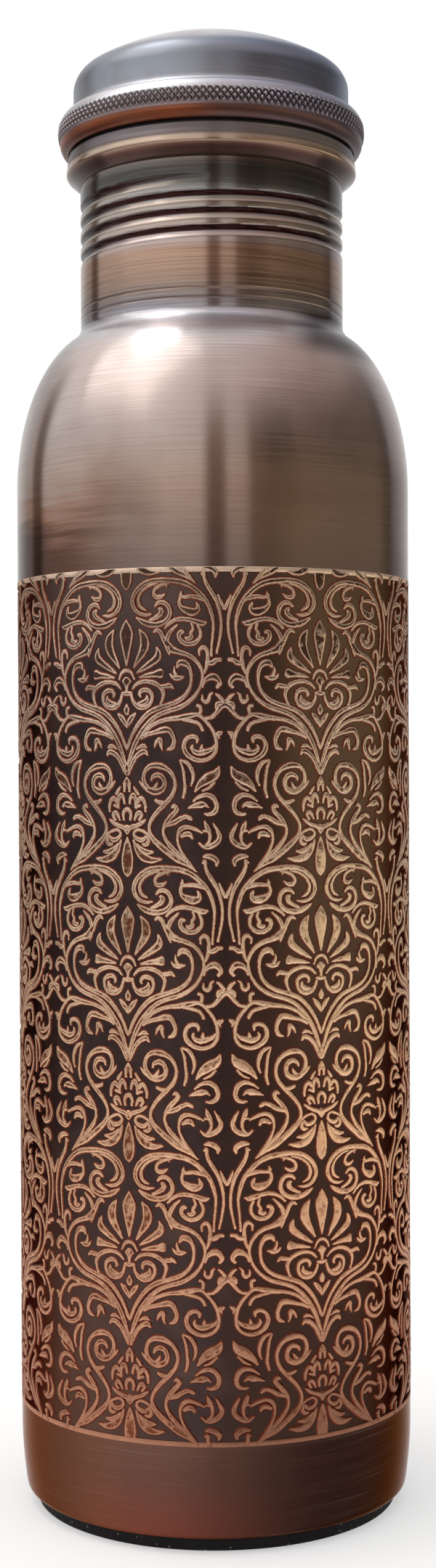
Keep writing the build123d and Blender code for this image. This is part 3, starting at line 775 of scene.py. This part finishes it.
# Painted shade low down: slight on the left, strong on the right.
low_left = [(axes["Z"], 100 * MM, 70 * MM), (axes["X"], -6 * MM, -24 * MM, "SMOOTHSTEP")]
colour = blend(tree, colour, tone("#5c3527"), low_left, 0.06)
low_right = [(axes["Z"], 50 * MM, 24 * MM), (axes["X"], -18 * MM, 6 * MM, "SMOOTHSTEP")]
colour = blend(tree, colour, tone("#46281f"), low_right, 0.5)
# A painted dark red shadow on the skirt, where the acid undercut each stroke.
undercut_shadow = (within, 0.15, -0.08)
colour = blend(tree, colour, tone("#6a2c1b"), [undercut_shadow])
dull = put(
    tree, "MapRange", {"Value": worn, "From Min": 0.3, "From Max": 0.7, "To Min": 0.3, "To Max": 0.45}
).outputs["Result"]
rough = put(tree, "Bump", {"Height": worn, "Strength": 0.3, "Distance": 0.05 * MM}).outputs["Normal"]
wire(tree, metal, {
    "Base Color": colour, "Roughness": dull, "Normal": rough,
    "Metallic": 0.8, "Specular Tint": tone("#f2dccb"),
})

# Border lines: a thin line of resist painted round each end of the band, left standing as the
# ornament is, and rubbed bright. The same sheet and the same polished copper.
BORDER_INSET = 0.16  # the lines are as worn as a stroke is this far in from its edge
for name, height in (("band_border_foot", BAND_FOOT), ("band_border_top", BAND_TOP - BORDER_WIDTH)):
    top = height + BORDER_WIDTH
    line_section = [(etched - 0.1, height), (BODY_RADIUS - 0.02, height), (BODY_RADIUS + 0.04, height + 0.1)]
    line_section += [(BODY_RADIUS + 0.04, top - 0.1), (BODY_RADIUS - 0.02, top), (etched - 0.1, top)]
    line = turn(line_section, SHELL_STEPS)
    inset = line.verts.layers.float.new("inset")
    for v in line.verts:
        v[inset] = BORDER_INSET if hypot(v.co.x, v.co.y) > (BODY_RADIUS - 0.05) * MM else -SKIRT
    finish_piece(line, name, "bottle", resist)

# Foot pad: a black rubber disc with white flecks, glued under the foot so that the bottle does
# not slip. Its moulded edge is rounded and finely ribbed.
PAD_RADIUS = (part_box("foot_pad")[1].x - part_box("foot_pad")[0].x) / 2 / MM
PAD_ROUND = 0.7
RIBS, RIB_HALF = 120, 0.07
CRUMB_SPACING, PORE_SIZE = 1.5, 0.4
pad_section = [(0, 0)]
pad_section += arc((PAD_RADIUS - PAD_ROUND, PAD_ROUND), (PAD_ROUND, PAD_ROUND), -90, 0, 5)
pad_section += stretch((PAD_RADIUS, 1.0), (PAD_RADIUS, FOOT_Z - 0.3), 0.3)
pad_section += [(PAD_RADIUS - 0.25, FOOT_Z - 0.01), (0, FOOT_Z - 0.01)]
pad = turn(pad_section, 360, closed=False)
for v in pad.verts:
    rim = hypot(v.co.x, v.co.y) / MM
    if rim > PAD_RADIUS - 0.2 and v.co.z > 0.4 * MM:
        rib = RIB_HALF * cos(RIBS * atan2(v.co.y, v.co.x))
        v.co.xy *= (rim - RIB_HALF + rib) / rim
rubber, tree, skin = new_finish("flecked_black_rubber")
place = put(tree, "TexCoord").outputs["Object"]
crumbs = put(tree, "TexVoronoi", {"Vector": place, "Scale": 1 / (CRUMB_SPACING * MM)}).outputs["Distance"]
cloud = put(tree, "TexNoise", {"Vector": place, "Scale": 1 / (4 * MM), "Detail": 3.0}).outputs["Fac"]
pores = put(tree, "TexNoise", {"Vector": place, "Scale": 1 / (PORE_SIZE * MM), "Detail": 2.0}).outputs["Fac"]
black = blend(tree, tone("#0f0d0d"), tone("#1f1b1b"), [cloud])
colour = blend(tree, black, tone("#6a6a68"), [(crumbs, 0.16, 0.1)])
dull = put(tree, "MapRange", {"Value": pores, "To Min": 0.55, "To Max": 0.85}).outputs["Result"]
matt = put(tree, "Bump", {"Height": pores, "Strength": 0.5, "Distance": 0.1 * MM}).outputs["Normal"]
wire(tree, skin, {"Base Color": colour, "Roughness": dull, "Normal": matt, "Specular IOR Level": 0.2})
pad_piece = finish_piece(pad, "rubber_foot", "bottle", rubber)
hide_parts("foot_pad")

# Seal: a flat ring of black silicone between the lip and the cap, with moulded round edges. It
# rises with the cap.
SEAL_INNER, SEAL_OUTER, SEAL_EDGE = 24.2, 26.2, 0.35
BLOOM_SIZE = 3.0
SEAL_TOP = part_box("seal_ring")[1].z / MM
seal_section = []
left, right = SEAL_INNER + SEAL_EDGE, SEAL_OUTER - SEAL_EDGE
foot, top = LIP_TOP + SEAL_EDGE, SEAL_TOP - SEAL_EDGE
for centre, start in (((left, foot), 180), ((right, foot), 270), ((right, top), 0), ((left, top), 90)):
    seal_section += arc(centre, (SEAL_EDGE, SEAL_EDGE), start, start + 90, 4)
seal = turn(seal_section, 128)
silicone, tree, skin = new_finish("moulded_black_silicone")
place = put(tree, "TexCoord").outputs["Object"]
bloom = put(tree, "TexNoise", {"Vector": place, "Scale": 1 / (BLOOM_SIZE * MM), "Detail": 4.0}).outputs["Fac"]
colour = blend(tree, tone("#171515"), tone("#2b2726"), [bloom])
dull = put(tree, "MapRange", {"Value": bloom, "To Min": 0.4, "To Max": 0.65}).outputs["Result"]
uneven = put(tree, "Bump", {"Height": bloom, "Strength": 0.3, "Distance": 0.1 * MM}).outputs["Normal"]
wire(tree, skin, {"Base Color": colour, "Roughness": dull, "Normal": uneven})
seal_piece = finish_piece(seal, "silicone_seal", "seal", silicone)
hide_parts("seal_ring")

# Screw plug: a closed copper cup with the male thread rolled outwards in its wall, flanged on to
# the cap's floor and brazed there. Its thread runs in the neck's.
PLUG_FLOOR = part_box("screw_plug")[0].z / MM
PLUG_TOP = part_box("screw_plug")[1].z / MM
PLUG_ROOT = 22.9
PLUG_CREST, CREST_HALF = 0.85, 0.3  # the thread's height in millimetres, and half its width in turns
PLUG_FLANGE = 25.4
PLUG_THREAD_FOOT, PLUG_THREAD_TOP = PLUG_FLOOR + 2.1, PLUG_TOP - 4.9
plug_section = [(0, PLUG_FLOOR), (PLUG_ROOT - 8, PLUG_FLOOR)]
plug_section += arc((PLUG_ROOT - 2, PLUG_FLOOR + 2), (2, 2), -90, 0, 8)
plug_section += stretch((PLUG_ROOT, PLUG_FLOOR + 2.2), (PLUG_ROOT, PLUG_TOP - 5), 0.26)
plug_section += [(PLUG_ROOT, PLUG_TOP - 0.9), (PLUG_ROOT + 0.3, PLUG_TOP - SHEET)]
plug_section += [(PLUG_FLANGE, PLUG_TOP - SHEET), (PLUG_FLANGE, PLUG_TOP)]
plug_section += [
    (PLUG_ROOT - 0.3, PLUG_TOP), (PLUG_ROOT - 0.6, PLUG_TOP - 0.3), (PLUG_ROOT - 0.6, PLUG_FLOOR + 2)
]
plug_section += arc((PLUG_ROOT - 2, PLUG_FLOOR + 2), (1.4, 1.4), 0, -90, 5)
plug_section += [(0, PLUG_FLOOR + SHEET)]
plug = turn(plug_section, 180, closed=False)
for v in plug.verts:
    reach = hypot(v.co.x, v.co.y) / MM
    height = v.co.z / MM
    if reach > PLUG_ROOT - 0.05 and PLUG_THREAD_FOOT < height < PLUG_THREAD_TOP:
        lead = (degrees(atan2(v.co.y, v.co.x)) + 90) / 360
        turns = (height - THREAD_LEVEL) / THREAD_PITCH - lead - 0.5
        near = abs(turns - round(turns))
        fade = min(1, (height - PLUG_THREAD_FOOT) / 1.5) * min(1, (PLUG_THREAD_TOP - height) / 3)
        crest = PLUG_CREST * fade * max(0, 1 - (near / CREST_HALF) ** 2)
        v.co.xy *= (reach + crest) / reach
plug_piece = finish_piece(plug, "threaded_plug", "cap", antique)
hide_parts("screw_plug")

# Cap: a domed lid pressed from copper sheet, polished and left to go grey-blue. Its rim is rolled
# outwards, and the widest part of the rim is knurled by a diamond wheel for grip.
CAP_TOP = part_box("cap_shell")[1].z / MM
CAP_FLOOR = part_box("cap_shell")[0].z / MM
CAP_WALL, CAP_WALL_TOP = 26.0, 265.9
CAP_SHOULDER, CAP_TURN = 4.5, 60
RIM_AXIS, RIM_REACH, RIM_HALF = 26.9, 2.0, 3.3
RIM_FILLET = 1.1  # where the rim turns out of the wall
CAP_EDGE = 23.4  # where the rim's sheet ends, turned in under the cap
RIM_Z = CAP_FLOOR + RIM_HALF
RIM_SAG, SAG_START = 0.65, 1.2  # the rolled edge hangs low, from a little below its middle
KNURLS = 144  # diamonds round the rim
KNURL_ROWS = 2
KNURL_DEPTH, KNURL_SUNK = 0.5, 0.75  # in millimetres, and the share of it that is cut inwards
KNURL_FOOT = RIM_Z - 1.85
KNURL_TOP = RIM_Z + 1.2
cap_axis = CAP_WALL - CAP_SHOULDER
meet_radius = cap_axis + CAP_SHOULDER * cos(radians(CAP_TURN))
dome = meet_radius / cos(radians(CAP_TURN))
dome_z = CAP_WALL_TOP + CAP_SHOULDER * sin(radians(CAP_TURN)) - dome * sin(radians(CAP_TURN))
cap_section = arc((0, dome_z), (dome, dome), 90, CAP_TURN, 16)
cap_section += arc((cap_axis, CAP_WALL_TOP), (CAP_SHOULDER, CAP_SHOULDER), CAP_TURN, 0, 12)
rim_top = (RIM_AXIS + RIM_REACH * cos(radians(70)), RIM_Z + RIM_HALF * sin(radians(70)))
cap_section += arc((CAP_WALL + RIM_FILLET, rim_top[1] + RIM_FILLET), (RIM_FILLET, RIM_FILLET), 180, 250, 6)
knurl_steps = 8 * KNURL_ROWS
knurl_heights = [KNURL_TOP - (KNURL_TOP - KNURL_FOOT) * i / knurl_steps for i in range(knurl_steps + 1)]
knurl_angles = [degrees(asin((z - RIM_Z) / RIM_HALF)) for z in knurl_heights]
for angle in (66, 60, 54, 48, 42, 36, 30, 25, *knurl_angles):
    cap_section.append((RIM_AXIS + RIM_REACH * cos(radians(angle)), RIM_Z + RIM_HALF * sin(radians(angle))))
for r, z in arc((RIM_AXIS + 0.15, RIM_Z), (RIM_REACH - 0.15, RIM_HALF), knurl_angles[-1] - 3, -90, 14):
    hanging = max(0, (RIM_Z - SAG_START - z) / (RIM_HALF - SAG_START)) ** 0.7
    cap_section.append((r, z - RIM_SAG * hanging))
cap_section += [(26.7, CAP_FLOOR), (24.0, CAP_FLOOR), (CAP_EDGE, CAP_FLOOR)]
cap_section += [(CAP_EDGE, CAP_FLOOR + SHEET), (24.5, CAP_FLOOR + SHEET)]
cap_section += arc((RIM_AXIS, RIM_Z), (RIM_REACH - SHEET, RIM_HALF - SHEET), -90, 70, 10)
cap_section += [(CAP_WALL - SHEET, rim_top[1] + 0.8)]
cap_section += arc((cap_axis, CAP_WALL_TOP), (CAP_SHOULDER - SHEET, CAP_SHOULDER - SHEET), 0, CAP_TURN, 5)
cap_section += arc((0, dome_z), (dome - SHEET, dome - SHEET), CAP_TURN, 90, 6)
cap = turn(cap_section, KNURLS * 4, closed=False)
cut = cap.verts.layers.float.new("knurl")
for v in cap.verts:
    reach, height = hypot(v.co.x, v.co.y) / MM, v.co.z / MM
    if KNURL_FOOT - 0.01 < height < KNURL_TOP + 0.01 and reach > RIM_AXIS + 0.2:
        across = atan2(v.co.y, v.co.x) / (2 * pi) * KNURLS
        up = (height - KNURL_FOOT) / (KNURL_TOP - KNURL_FOOT) * KNURL_ROWS
        left, right = (across + up) % 1, (across - up) % 1
        peak = 1 - max(abs(2 * left - 1), abs(2 * right - 1))
        shallow = min(1, (height - KNURL_FOOT) / 0.9)
        v[cut] = (1 - peak) * shallow
        v.co.xy *= (reach + KNURL_DEPTH * (peak - KNURL_SUNK) * shallow) / reach

# The cap's copper is polished round on the lathe, so it mirrors softly with hardly a smear, and its
# film is grey-blue on the dome and brown in the knurl's valleys. Highlights are painted into it:
# near white towards the top of the dome and pale on the rim above the knurl. Its right side has a
# painted blue reflection, and the rolled edge is painted in shade on the right.
POLISH_LINE = 0.3  # millimetres between polishing lines, drawn coarse so that they show
CAP_STAIN = 12.0
greyed, tree, metal = new_finish("polished_greyed_copper")
place = put(tree, "TexCoord").outputs["Object"]
axes = put(tree, "SeparateXYZ", {0: place}).outputs
grain = scratches(tree, axes, POLISH_LINE, 60.0, Detail=4.0)
stain = put(tree, "TexNoise", {"Vector": place, "Scale": 1 / (CAP_STAIN * MM), "Detail": 3.0}).outputs["Fac"]
level = put(
    tree, "MapRange", {"Value": axes["Z"], "From Min": CAP_FLOOR * MM, "From Max": CAP_TOP * MM}
).outputs["Result"]
# The film's colour by share of the cap's height, with painted highlights in it: pale from 0.2 to
# 0.31 on the rim above the knurl and its fillet, and near white from 0.74 up on the dome.
shades = (
    (0.0, "#6a3a2a"), (0.02, "#9c583c"), (0.045, "#a65e40"), (0.065, "#8a5a48"), (0.083, "#a08e90"),
    (0.198, "#cabec4"), (0.208, "#dcdade"), (0.31, "#dcdce2"), (0.37, "#a4a7af"), (0.66, "#969aa4"),
    (0.74, "#d4d0d6"), (0.84, "#f4ecf2"), (0.9, "#ffffff"), (0.98, "#fff4e6"),
)
colour = fill_ramp(put(tree, "ValToRGB", {"Fac": level}), shades)
colour = blend(tree, colour, tone("#7a6458"), [(stain, 0.5, 0.75)], 0.4)
# Painted blue reflection on the right side.
colour = blend(tree, colour, tone("#7c90bc"), [(axes["X"], -2 * MM, 16 * MM)], 0.4)
# Painted shade on the right of the rolled edge.
right_side = (axes["X"], -8 * MM, 6 * MM, "SMOOTHSTEP")
rolled_edge = (level, 0.085, 0.055)
colour = blend(tree, colour, tone("#58443c"), [right_side, rolled_edge], 0.8)
valley = put(tree, "Attribute", attribute_name="knurl").outputs["Fac"]
colour = blend(tree, colour, tone("#2a1d1a"), [(valley, 0.25, 0.85)], 0.95)
dull = put(
    tree, "MapRange", {"Value": grain, "From Min": 0.3, "From Max": 0.7, "To Min": 0.3, "To Max": 0.38}
).outputs["Result"]
scratch = put(tree, "Bump", {"Height": grain, "Strength": 0.35, "Distance": 0.03 * MM}).outputs["Normal"]
round_axis = put(tree, "Tangent", direction_type="RADIAL", axis="Z").outputs[0]
wire(tree, metal, {
    "Base Color": colour, "Roughness": dull, "Normal": scratch, "Tangent": round_axis,
    "Metallic": 1.0, "Anisotropic": 0.1, "Anisotropic Rotation": 0.25,
})
cap_piece = finish_piece(cap, "domed_cap", "cap", greyed, sharp=50)
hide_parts("cap_shell")

# Table: a round plain pale top that the bottle stands on, seen against the white wall. Seen
# straight or in the metal it glows a little, so that it ends in the wall and keeps the shadow.
TABLE_RADIUS = 0.3  # metres, as everything in the studio is


def looked_at(tree):
    """1 for what the camera, the metal or a glass looks at, 0 for what only lights the bottle."""
    rays = put(tree, "LightPath").outputs
    views = {0: rays["Is Camera Ray"], 1: rays["Is Glossy Ray"]}
    either = put(tree, "Math", views, operation="MAXIMUM").outputs[0]
    return put(tree, "Math", {0: either, 1: rays["Is Transmission Ray"]}, operation="MAXIMUM").outputs[0]


table_bm = bmesh.new()
bmesh.ops.create_circle(table_bm, cap_ends=True, segments=96, radius=TABLE_RADIUS)
sheet = bpy.data.meshes.new("pale_table")
table_bm.to_mesh(sheet)
table_bm.free()
table = bpy.data.objects.new("pale_table", sheet)
bpy.context.scene.collection.objects.link(table)
pale, tree, paper = new_finish("pale_paper")
glow = put(tree, "Math", {0: looked_at(tree), 1: 0.4}, operation="MULTIPLY").outputs[0]
wire(tree, paper, {
    "Base Color": tone("#f2f1f0"), "Roughness": 0.9, "Specular IOR Level": 0.0,
    "Emission Color": (1, 1, 1, 1), "Emission Strength": glow,
})
sheet.materials.append(pale)

# Studio: a white wall behind, a long window front left, a dark frame straight ahead, then a pale
# gap and a dim room on the right with a warm light low down. The metal mirrors the room, the camera
# sees white behind the bottle, and what falls on the bottle is plain soft light.
world = bpy.data.worlds.new("studio")
bpy.context.scene.world = world
world.use_nodes = True
tree = world.node_tree
ground = tree.nodes["Background"]
looking = put(tree, "TexCoord").outputs["Generated"]
axes = put(tree, "SeparateXYZ", {0: looking}).outputs
front = put(tree, "Math", {0: axes["Y"], 1: -1.0}, operation="MULTIPLY").outputs[0]
bearing = put(tree, "Math", {0: axes["X"], 1: front}, operation="ARCTAN2").outputs[0]
share = put(tree, "MapRange", {"Value": bearing, "From Min": -pi, "From Max": pi}).outputs["Result"]
behind_left = (
    (-180, "#ededed"), (-150, "#cccecf"), (-136, "#b0b0b0"), (-131, "#beb6b2"), (-128.5, "#70665f"),
    (-119, "#70665f")
)
behind_right = ((130, "#8a8a8c"), (150, "#bfc0c2"), (180, "#ededed"))
# The room in rings, from the floor up. Each has the two heights of view, 0 level and 1 straight up,
# between which it takes over from the ring below, and its colours by bearing in degrees: 0 is
# straight ahead, towards the camera, and 90 is on the right.
rings = (
    (
        None,
        (
            *behind_left, (-115, "#aaa6a4"), (-40, "#9a928d"), (-8, "#857a74"), (0, "#6b605a"),
            (30, "#8a7d70"), (126, "#95897c"), *behind_right
        )
    ),
    (
        (-0.3, -0.18),
        (
            *behind_left, (-115.5, "#b6b8ba"), (-60, "#c8c6c4"), (-40, "#d2cecb"), (-29, "#eee8e2"),
            (-6, "#f4eee8"), (-2, "#78695f"), (6, "#78695f"), (9, "#e4dcd4"), (20, "#dcd2c8"),
            (25, "#c4ae94"), (45, "#ffecca"), (75, "#fff4d8"), (110, "#fff4d8"), (126, "#a69682"),
            *behind_right,
        ),
    ),
    (
        (0.02, 0.08),
        (
            *behind_left, (-115.5, "#e2e6e9"), (-70, "#e6e9ec"), (-30, "#e6e8ea"), (-6, "#dad9d9"),
            (-2, "#7e6b64"), (6, "#7e6b64"), (9, "#c6c1c0"), (19, "#beb8b5"), (22.5, "#5a4f4a"),
            (29, "#52463f"), (33, "#201a19"), (47.5, "#201a19"), (50.5, "#4e4643"), (85, "#3c3636"),
            (100, "#46403e"), (115, "#4a4442"), (126, "#3a3536"), *behind_right,
        ),
    ),
    (
        (0.16, 0.28),
        (
            *behind_left, (-115.5, "#e2e6e9"), (-70, "#e6e9ec"), (-30, "#e0e2e4"), (-6, "#d2d1d1"),
            (-2, "#7c6962"), (6, "#7c6962"), (9, "#bab5b3"), (19, "#aaa4a0"), (22.5, "#66594f"),
            (29, "#5e5049"), (33, "#2c2421"), (47.5, "#2c2421"), (50.5, "#5b4f48"), (85, "#4b423c"),
            (100, "#554c44"), (115, "#5d5249"), (126, "#473e39"), *behind_right,
        ),
    ),
    (
        (0.34, 0.7),
        (
            (-180, "#efefef"), (-120, "#f8f4f2"), (-40, "#f4efec"), (0, "#d3cac8"), (40, "#cabcb9"),
            (75, "#bcaca8"), (100, "#a89a96"), (150, "#a8a6a9"), (168, "#d0d0d0"), (180, "#efefef")
        )
    ),
    (
        (0.88, 0.97),
        (
            (-180, "#f6f6f6"), (-120, "#fcfcfc"), (-40, "#fafafa"), (0, "#f4f4f6"), (45, "#e8e6ea"),
            (100, "#d8d6da"), (150, "#cccacc"), (168, "#dcdcdc"), (180, "#f6f6f6")
        )
    ),
)
for span, views in rings:
    ramp = put(tree, "ValToRGB", {"Fac": share})
    ring = fill_ramp(ramp, [((side + 180) / 360, shade) for side, shade in views])
    room = blend(tree, room, ring, [(axes["Z"], *span, "SMOOTHSTEP")]) if span else ring
camera_ray = put(tree, "LightPath").outputs["Is Camera Ray"]
seen = blend(tree, room, (1, 1, 1, 1), [camera_ray])
light = blend(tree, tone("#d2d2d2"), seen, [looked_at(tree)])
wire(tree, ground, {"Color": light, "Strength": 1.0})

# Lamps: a large soft box high on the left, and a small one nearly overhead that gives the shoulder
# its hot spot.
for name, size, power, place in (
    ("sky_panel", 0.8, 1.5, (-0.5, -0.2, 1.0)), ("soft_box", 0.3, 0.65, (-0.35, 0.0, 1.12))
):
    box = bpy.data.lights.new(name, "AREA")
    box.shape = "SQUARE"
    box.size = size
    box.energy = power
    holder = bpy.data.objects.new(name, box)
    holder.location = place
    holder.rotation_euler = (Vector((0, 0, 0.2)) - holder.location).to_track_quat("-Z", "Y").to_euler()
    bpy.context.scene.collection.objects.link(holder)

# Camera: close in front of the bottle, level with its middle and tipped a little down.
PITCH, ROLL = -0.0161, -0.0042
EYE = (0.00078, -0.4275, 0.1383)
camera = bpy.data.cameras.new("camera")
camera.sensor_fit = "VERTICAL"
camera.sensor_height = 36.0
camera.lens = 51.45
camera.shift_y = 0.0131
camera.clip_start = 0.01
eye = bpy.data.objects.new("camera", camera)
bpy.context.scene.collection.objects.link(eye)
rise = Vector((0, -sin(PITCH), cos(PITCH)))
right = Vector((1, 0, 0)) * cos(ROLL) + rise * sin(ROLL)
rise = rise * cos(ROLL) - Vector((1, 0, 0)) * sin(ROLL)
ahead = Vector((0, cos(PITCH), sin(PITCH)))
turned = Matrix((right, rise, -ahead)).transposed().to_4x4()
eye.matrix_world = Matrix.Translation(EYE) @ turned
bpy.context.scene.camera = eye
bpy.context.scene.view_settings.view_transform = "Standard"
